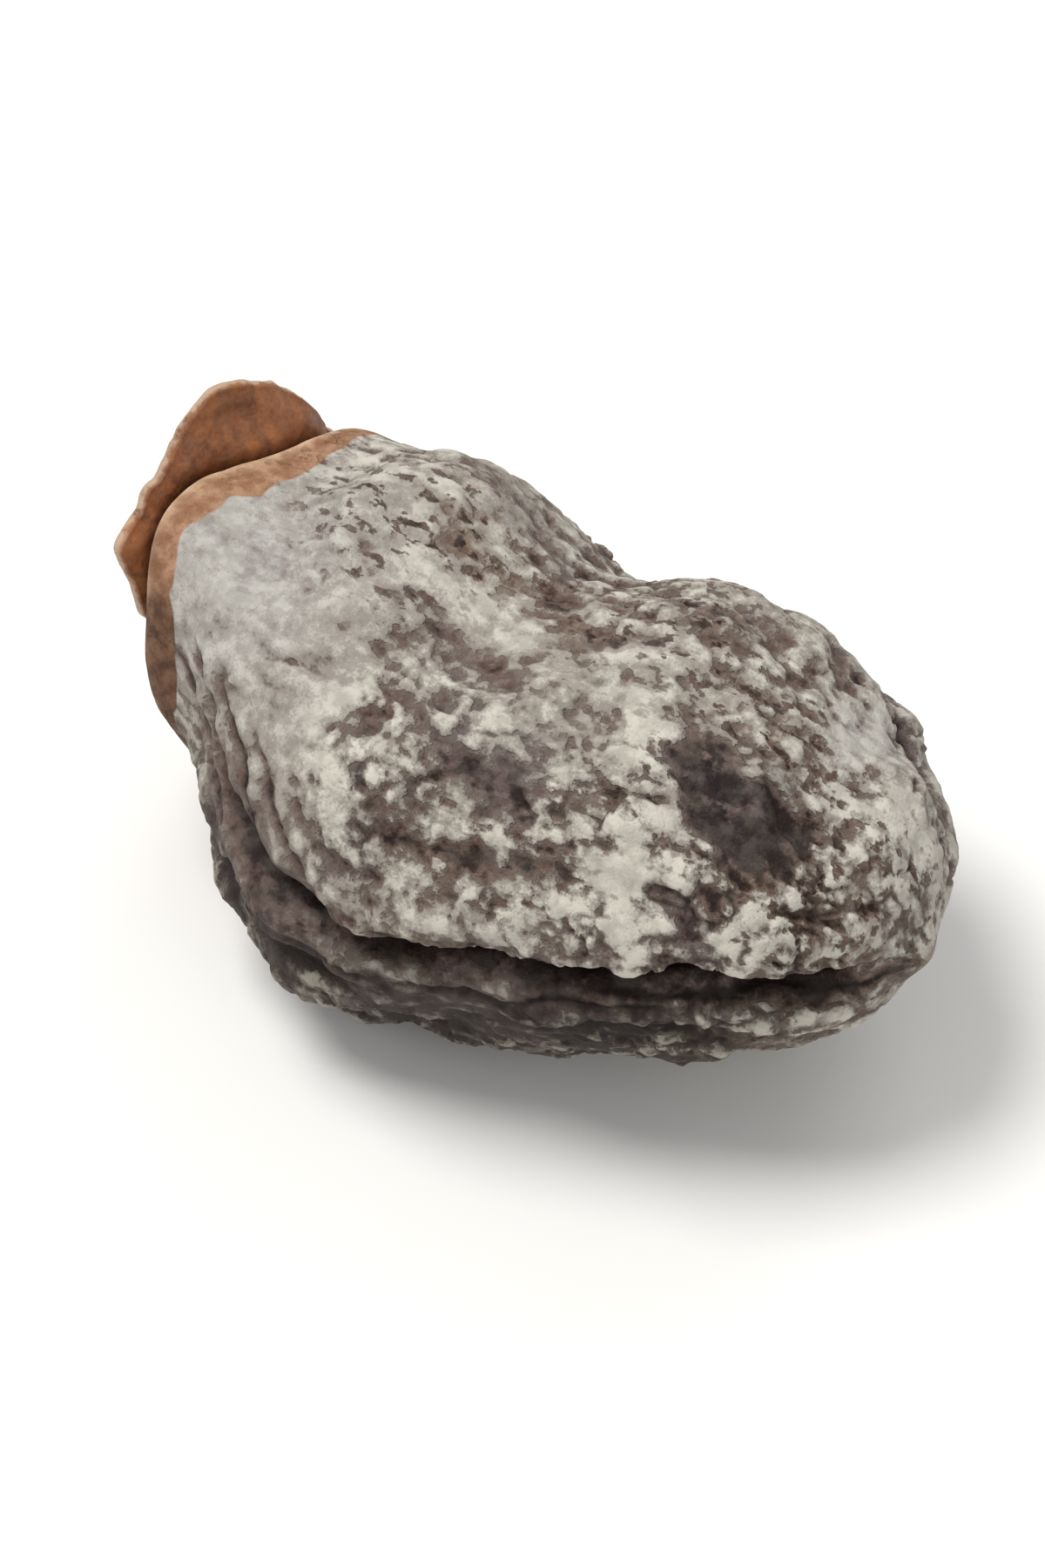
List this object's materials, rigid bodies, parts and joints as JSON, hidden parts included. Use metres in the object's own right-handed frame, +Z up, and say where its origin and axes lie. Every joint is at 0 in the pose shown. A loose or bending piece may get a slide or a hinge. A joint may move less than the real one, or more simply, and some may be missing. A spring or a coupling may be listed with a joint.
{
  "type": "dried persimmon",
  "caption": "Whole dried persimmon with a wrinkled body under a crusty pale sugar bloom, a leathery brown calyx and a short broken stem stub, lying on its side.",
  "frame": {"origin": "middle of the fruit's box at the level of the surface that it rests on", "axes": "+X along the fruit towards its tip, with the calyx at -X, +Z up from the resting surface"},
  "size_m": [0.062, 0.0396, 0.0305],
  "materials": {
    "bloomed_flesh": "matte, crusty sugar bloom over dark flesh",
    "calyx": "matte, leathery",
    "stem": "matte, woody, pale where it is broken"
  },
  "bodies": {
    "root": {"fruit_body": "bloomed_flesh", "calyx": "calyx", "stem_stub": "stem"}
  },
  "joints": []
}
